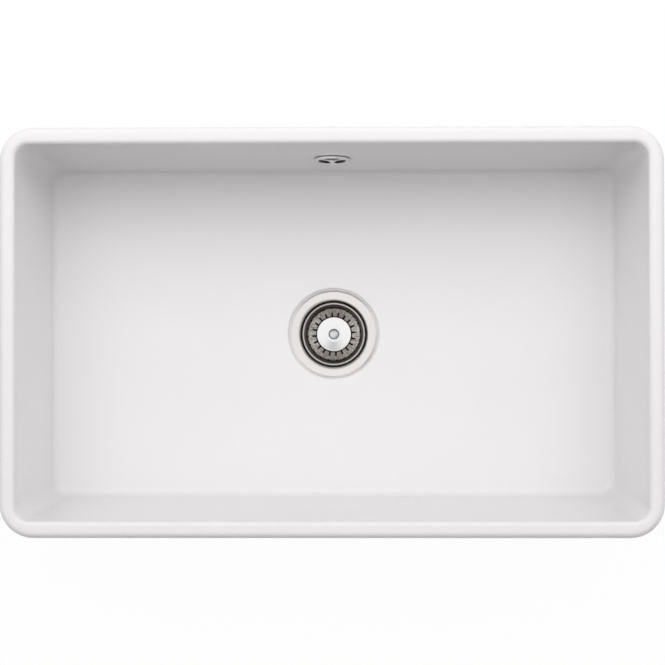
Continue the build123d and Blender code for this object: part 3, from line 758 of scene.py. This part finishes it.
# Painted light: how far the disc's bright tone reaches over its side wall, which lies in shade
disc_side_light_reach = 1.0 * MM
disc_fade = 0.6 * MM
disc_foot = 0.2 * MM
wall_inset = 1.6 * MM
wall_outset = 0.6 * MM
wall_ragged = 5.0 * MM
wire_foot = 0.9 * MM
wire_top = 0.3 * MM
slot_top_z = trough_z - 0.04 * MM
slot_foot_z = trough_z - 0.88 * MM
slot_fade = 0.08 * MM
axis_guard = 1.0 * MM
outward_step = (0.05, 0.35)
downward_step = (-0.05, -0.35)
polish_step = (0.34, 0.60)
# Painted reflection: share of the trough's brightness kept at its front and back, and at its sides
side_reflection_range = (0.45, 1.0)

# Heights of fine relief, and how far the angle is squeezed to draw rings and streaks
peel_height = 0.02 * MM
clay_height = 0.25 * MM
flange_line_height = 0.008 * MM
basket_line_height = 0.006 * MM
dent_height = 0.03 * MM
plate_height = 0.002 * MM
plain_height = 0.02 * MM
ring_squeeze = 0.004
streak_squeeze = 0.35


def make_glaze():
    """White glaze, a little uneven, over cream clay that stays bare under the base, with painted shade in
    the overflow's hole.
    """
    made, tree, shader = new_material("fireclay_glaze", Specular_IOR_Level=0.5)
    x, y, z = axes(tree)
    wander = calc(tree, "MULTIPLY", noise_at(tree, scale=90, detail=4), bare_wander)
    bare_top = base_z + bare_band
    bare = step_at(tree, calc(tree, "ADD", z, wander), bare_top + bare_fade, bare_top, way="LINEAR")
    cloud = blend(tree, noise_at(tree, scale=9, detail=2), *glaze_colours)
    grain = noise_at(tree, scale=900, detail=6, roughness=0.7)
    clay = blend(tree, grain, *clay_colours)
    hole_shade_colour = blend(tree, grain, *overflow_shade_colours)
    # Painted shade: inside the overflow's hole and behind its cover the clay is painted dark
    off_axis = off_centre(tree, x, calc(tree, "SUBTRACT", z, overflow_z))
    hole_shade_radius = overflow_hole + hole_shade_margin
    hole_shade = both(
        tree,
        step_at(tree, off_axis, hole_shade_radius + hole_shade_fade, hole_shade_radius),
        step_at(tree, y, overflow_y - end_wall, overflow_y - end_wall / 2),
    )
    colour = blend(tree, hole_shade, blend(tree, bare, cloud, clay), hole_shade_colour)
    gloss = span(tree, noise_at(tree, scale=45), *glaze_roughness)
    feed(tree, shader, Base_Color=colour, Roughness=mix(tree, bare, gloss, clay_roughness))
    peel = noise_at(tree, scale=70, detail=2)
    bump(tree, shader, (peel, peel_height), (both(tree, grain, bare), clay_height))
    return made


def make_cup_steel():
    """Flange brushed in rings, over a drawn wall with rings of its own and a dull sump, which are painted
    darker with depth as painted shade.
    """
    made, tree, shader = new_material("cup_steel", Metallic=1.0, Anisotropic=0.4)
    rings, radius, z = around_axis(tree, ring_squeeze)
    lines = noise_at(tree, scale=2600, roughness=0.6, vector=rings)
    broad = noise_at(tree, scale=700, detail=2, vector=rings)
    flange = blend(tree, lines, *flange_colours)
    # Painted shade: the drawn wall and the sump below the seat are painted darker than the flange, the sump
    # darkest
    drawn_shade = blend(tree, broad, *drawn_wall_shade_colours)
    sump_shade = blend(tree, broad, *sump_shade_colours)
    mouth_radius = flange_radius - flange_band
    shade_painted_wall = both(
        tree,
        step_at(tree, z, flange_top - mouth_start, flange_top - mouth_end),
        step_at(tree, radius, mouth_radius, mouth_radius - mouth_fade),
    )
    below_seat = step_at(tree, z, seat_top_z + seat_fade, seat_top_z - seat_fade)
    colour = blend(tree, below_seat, blend(tree, shade_painted_wall, flange, drawn_shade), sump_shade)
    wear = noise_at(tree, scale=160)
    brushed = span(tree, both(tree, lines, wear), *flange_roughness)
    # The drawn wall has a dull skin of hard water, which scatters light where bare steel would not
    rough = mix(tree, shade_painted_wall, brushed, drawn_roughness)
    bare_metal = calc(tree, "SUBTRACT", 1.0, calc(tree, "MULTIPLY", shade_painted_wall, drawn_scatter))
    feed(tree, shader, Base_Color=colour, Roughness=rough, Metallic=bare_metal)
    bump(tree, shader, (lines, flange_line_height))
    return made


def make_basket_steel():
    """Bright pressed disc and rolled rim, a scuffed trough between them and painted shade on the wall
    inside. Painted light covers the disc's side wall, painted shade blackens the slots' sides, and a painted
    reflection brightens the trough's left and right.
    """
    made, tree, shader = new_material("basket_steel", Metallic=1.0, Anisotropic=0.3)
    rings, radius, z = around_axis(tree, ring_squeeze)
    lines = noise_at(tree, scale=2400, roughness=0.6, vector=rings)
    streaks = noise_at(tree, scale=60, detail=4, roughness=0.65, vector=around_axis(tree, streak_squeeze)[0])
    scuffs = noise_at(tree, scale=420, detail=4, roughness=0.7)
    mottle = calc(tree, "MULTIPLY", calc(tree, "ADD", streaks, scuffs), 0.5)
    # Painted reflection: the trough is painted brighter at its left and right sides than at its front and
    # back
    x, y = axes(tree)[:2]
    across = calc(tree, "DIVIDE", x, calc(tree, "ADD", radius, axis_guard))
    grain = span(tree, calc(tree, "MULTIPLY", across, across), *side_reflection_range)
    polish_and_reflection = both(tree, step_at(tree, mottle, *polish_step), grain)
    # Masks of the disc with its side wall, where painted light covers the side's shade; of the wall inside,
    # painted dark as shade; of the rolled rim; of the slots' sides, painted black as shade; and of the
    # outside
    disc_and_lit_side = both(
        tree,
        step_at(tree, radius, disc_radius + disc_side_light_reach + disc_fade, disc_radius + disc_side_light_reach),
        step_at(tree, z, trough_z + disc_foot, trough_z + disc_foot + disc_fade),
    )
    stray = calc(tree, "MULTIPLY", calc(tree, "SUBTRACT", streaks, 0.5), wall_ragged)
    ragged = calc(tree, "ADD", radius, stray)
    shade_painted_wall = step_at(tree, ragged, trough_radius - wall_inset, trough_radius + wall_outset)
    on_rim = both(tree, step_at(tree, z, rim_z - wire_foot, rim_z + wire_top), shade_painted_wall)
    slot_shade = both(
        tree,
        step_at(tree, z, slot_top_z, slot_top_z - slot_fade),
        step_at(tree, z, slot_foot_z, slot_foot_z + slot_fade),
    )
    normal = add(tree, "TexCoord").outputs["Normal"]
    outward = facing(tree, normalized(tree, joined(tree, x, y, 0.0)), normal)
    is_outside = calc(
        tree,
        "MAXIMUM",
        step_at(tree, outward, *outward_step),
        step_at(tree, axes(tree, normal)[2], *downward_step),
    )
    # Painted shade: the inward faces of the wall are painted dark, and the trough's colour carries the
    # painted reflection at its sides
    inside = blend(tree, shade_painted_wall, blend(tree, polish_and_reflection, *trough_colours), blend(tree, scuffs, *wall_shade_colours))
    colour = blend(tree, is_outside, inside, blend(tree, mottle, *outside_colours))
    # Painted light: the disc's bright tone also covers its side wall, which lies in shade
    colour = blend(tree, disc_and_lit_side, colour, blend(tree, lines, *disc_colours))
    # Painted shade: the sides of the slots are painted near black
    colour = blend(tree, slot_shade, colour, slot_shade_colour)
    colour = blend(tree, on_rim, colour, blend(tree, lines, *rim_colours))
    rough = mix(tree, disc_and_lit_side, span(tree, scuffs, *trough_roughness), disc_roughness)
    feed(tree, shader, Base_Color=colour, Roughness=rough)
    bump(tree, shader, (lines, basket_line_height), (mottle, dent_height))
    return made


def make_chrome(name, roughness):
    """Bright plate with faint smears."""
    made, tree, shader = new_material(name, Metallic=1.0)
    smear = noise_at(tree, scale=120, detail=4, roughness=0.6)
    colour = blend(tree, smear, *chrome_colours)
    feed(tree, shader, Base_Color=colour, Roughness=span(tree, smear, *roughness))
    bump(tree, shader, (noise_at(tree, scale=600, detail=2), plate_height))
    return made


def make_plain(name, colours, roughness, metallic=0.0, gloss=0.5):
    """Moulded or turned surface: mottled colour, fine grain and uneven gloss."""
    made, tree, shader = new_material(name, Metallic=metallic, Specular_IOR_Level=gloss)
    mottle = noise_at(tree, scale=70, detail=4, roughness=0.6)
    colour = blend(tree, mottle, *colours)
    feed(tree, shader, Base_Color=colour, Roughness=span(tree, mottle, *roughness))
    bump(tree, shader, (noise_at(tree, scale=1200, roughness=0.6), plain_height))
    return made


def dress(node, material):
    """Gives a CAD node its material."""
    mesh = frame["nodes"][node].data
    mesh.materials.clear()
    mesh.materials.append(material)


glaze = make_glaze()
cup_steel = make_cup_steel()
basket_steel = make_basket_steel()
chrome = make_chrome("bright_chrome", (0.04, 0.14))
satin_chrome = make_chrome("satin_chrome", (0.28, 0.36))
plain_steel = make_plain("plain_steel", steel_colours, (0.22, 0.38), metallic=1.0)
brass = make_plain("turned_brass", brass_colours, (0.22, 0.40), metallic=1.0)
rubber = make_plain("black_rubber", rubber_colours, (0.55, 0.80), gloss=0.3)
white_plastic = make_plain("white_plastic", white_plastic_colours, (0.34, 0.50))
grey_plastic = make_plain("grey_plastic", grey_plastic_colours, (0.36, 0.52))
dark_plastic = make_plain("dark_plastic", dark_plastic_colours, (0.40, 0.55), gloss=0.2)
nylon = make_plain("nylon", nylon_colours, (0.35, 0.50))

# CAD nodes whose shape is right get their material alone
for node_name, finish in {
    "strainer_cup": cup_steel,
    "basket": basket_steel,
    "basket_post": plain_steel,
    "thread_insert": brass,
    "overflow_insert": brass,
}.items():
    dress(node_name, finish)

# Copies with rounded edges: node, new name, material, edge in millimetres
for node_name, piece_name, finish, edge in (
    ("basket_knob", "pull_knob", satin_chrome, 0.35),
    ("overflow_grille", "chrome_grille", chrome, 0.35),
    ("overflow_screw", "grille_screw", chrome, 0.15),
    ("centre_screw", "clamping_screw", plain_steel, 0.25),
    ("post_nut", "hexagon_nut", plain_steel, 0.35),
    ("flange_seal", "flange_ring", rubber, 0.4),
    ("body_seal", "body_ring", rubber, 0.6),
    ("plug_seal", "plug_disc", rubber, 0.5),
    ("overflow_front_seal", "front_ring", rubber, 0.3),
    ("overflow_back_seal", "back_ring", rubber, 0.6),
    ("union_seal", "union_ring", rubber, 0.4),
    ("union_nut", "ribbed_nut", white_plastic, 0.5),
    ("seal_carrier", "carrier_disc", dark_plastic, 0.3),
    ("detent_bush", "snap_bush", nylon, 0.3),
):
    place_for(softened(piece_name, node_name, edge * MM), node_name, finish)

build_bowl(glaze)
build_waste_body(white_plastic)
build_thread(white_plastic)
build_elbow(white_plastic)
build_hose(grey_plastic)
build_clip(plain_steel)
build_clip_screw(plain_steel)

# Camera: almost straight above the middle of the rim, a little to the right and front of it
camera_place = Vector((39.1, -25.9, 2283.4)) * MM
camera_pitch = radians(0.641)
camera_roll = radians(0.935)
camera_yaw = radians(-0.088)
camera_lens = 103.8
camera_sensor = 36.0
camera_data = bpy.data.cameras.new("camera")
camera_data.sensor_width = camera_sensor
camera_data.lens = camera_lens
camera = new_object("camera", camera_data)
camera.matrix_world = (
    Matrix.Translation(camera_place)
    @ Matrix.Rotation(camera_pitch, 4, "X")
    @ Matrix.Rotation(camera_roll, 4, "Y")
    @ Matrix.Rotation(camera_yaw, 4, "Z")
)
bpy.context.scene.camera = camera

# Floor
floor_half = 6.0
floor_gap = 0.5 * MM
floor_grey = 0.85
floor_glow_share = 0.97

# Light from all round, and a glow to each side: aim and focus
ambient_light = 0.20
side_light = 0.84
side_aim = (0.8, 0.2, 0.6)
side_focus = 4.0

# Places that reflections see darker than white: aim, focus and how much
front_shade = ((0.58, -0.56, 0.60), 14.0, -0.85)
top_shade = ((0.0, 0.30, 0.95), 90.0, -0.55)


def shown_white(tree):
    """1 for rays from the camera, from a reflection or through glass, and 0 for light."""
    path = add(tree, "LightPath").outputs
    seen = calc(tree, "MAXIMUM", path["Is Camera Ray"], path["Is Glossy Ray"])
    return calc(tree, "MAXIMUM", seen, path["Is Transmission Ray"])


def build_floor():
    """Pale floor below the object. It shows white where no shadow lies."""
    level = cad_box[0].z - floor_gap
    corners = [(x * floor_half, y * floor_half, level) for x, y in ((-1, -1), (1, -1), (1, 1), (-1, 1))]
    mesh = bpy.data.meshes.new("floor")
    mesh.from_pydata(corners, [], [(0, 1, 2, 3)])
    made = bpy.data.materials.new("floor_white")
    made.use_nodes = True
    tree = made.node_tree
    tree.nodes.clear()
    matte = add(tree, "BsdfDiffuse", {"Color": (floor_grey, floor_grey, floor_grey, 1)}).outputs[0]
    glow = add(tree, "Emission", {"Color": (1, 1, 1, 1), "Strength": 1.0}).outputs[0]
    share = calc(tree, "MULTIPLY", shown_white(tree), floor_glow_share)
    surface = add(tree, "MixShader", {0: share, 1: matte, 2: glow}).outputs[0]
    add(tree, "OutputMaterial", {"Surface": surface})
    mesh.materials.append(made)
    new_object("floor", mesh)


def with_lobe(tree, level, way, aim, focus, gain):
    """Level of light, changed by a soft round spot in one direction."""
    aimed = calc(tree, "MAXIMUM", facing(tree, way, tuple(Vector(aim).normalized())), 0.0)
    lobe = calc(tree, "POWER", aimed, focus)
    return calc(tree, "ADD", level, calc(tree, "MULTIPLY", lobe, gain))


def build_world():
    """Soft light from all round, stronger from both sides.

    The camera sees white. Reflections see the same white with two softly darker places: a broad
    one at the front right, and a small one just behind the zenith.
    """
    world = bpy.data.worlds.new("studio")
    bpy.context.scene.world = world
    world.use_nodes = True
    tree = world.node_tree
    tree.nodes.clear()
    way = normalized(tree, add(tree, "TexCoord").outputs["Generated"])
    x, y, z = axes(tree, way)
    to_one_side = joined(tree, calc(tree, "ABSOLUTE", x), y, z)
    light = with_lobe(tree, ambient_light, to_one_side, side_aim, side_focus, side_light)
    mirrored = with_lobe(tree, 1.0, way, *front_shade)
    mirrored = with_lobe(tree, mirrored, way, *top_shade)
    from_camera = add(tree, "LightPath").outputs["Is Camera Ray"]
    strength = mix(tree, shown_white(tree), light, mix(tree, from_camera, mirrored, 1.0))
    glow = add(tree, "Background", {"Color": (1, 1, 1, 1), "Strength": strength}).outputs[0]
    add(tree, "OutputWorld", {"Surface": glow})


def softbox(name, stand, aim, width, height, power):
    """Rectangular studio light that points at a spot. Camera and reflections don't see it."""
    data = bpy.data.lights.new(name, "AREA")
    data.shape = "RECTANGLE"
    data.size = width
    data.size_y = height
    data.energy = power
    lamp = new_object(name, data)
    lamp.location = stand
    lamp.rotation_mode = "QUATERNION"
    lamp.rotation_quaternion = (Vector(aim) - Vector(stand)).to_track_quat("-Z", "Y")
    lamp.visible_camera = False
    lamp.visible_glossy = False


build_floor()
build_world()
softbox("high_softbox", stand=(0.0, 1.35, 3.3), aim=(0.0, 0.0, -0.1), width=3.4, height=1.3, power=17.0)
softbox("back_softbox", stand=(0.0, 0.8, 1.5), aim=(0.0, -0.1, -0.1), width=2.6, height=1.6, power=23.0)

bpy.context.scene.view_settings.view_transform = "Standard"
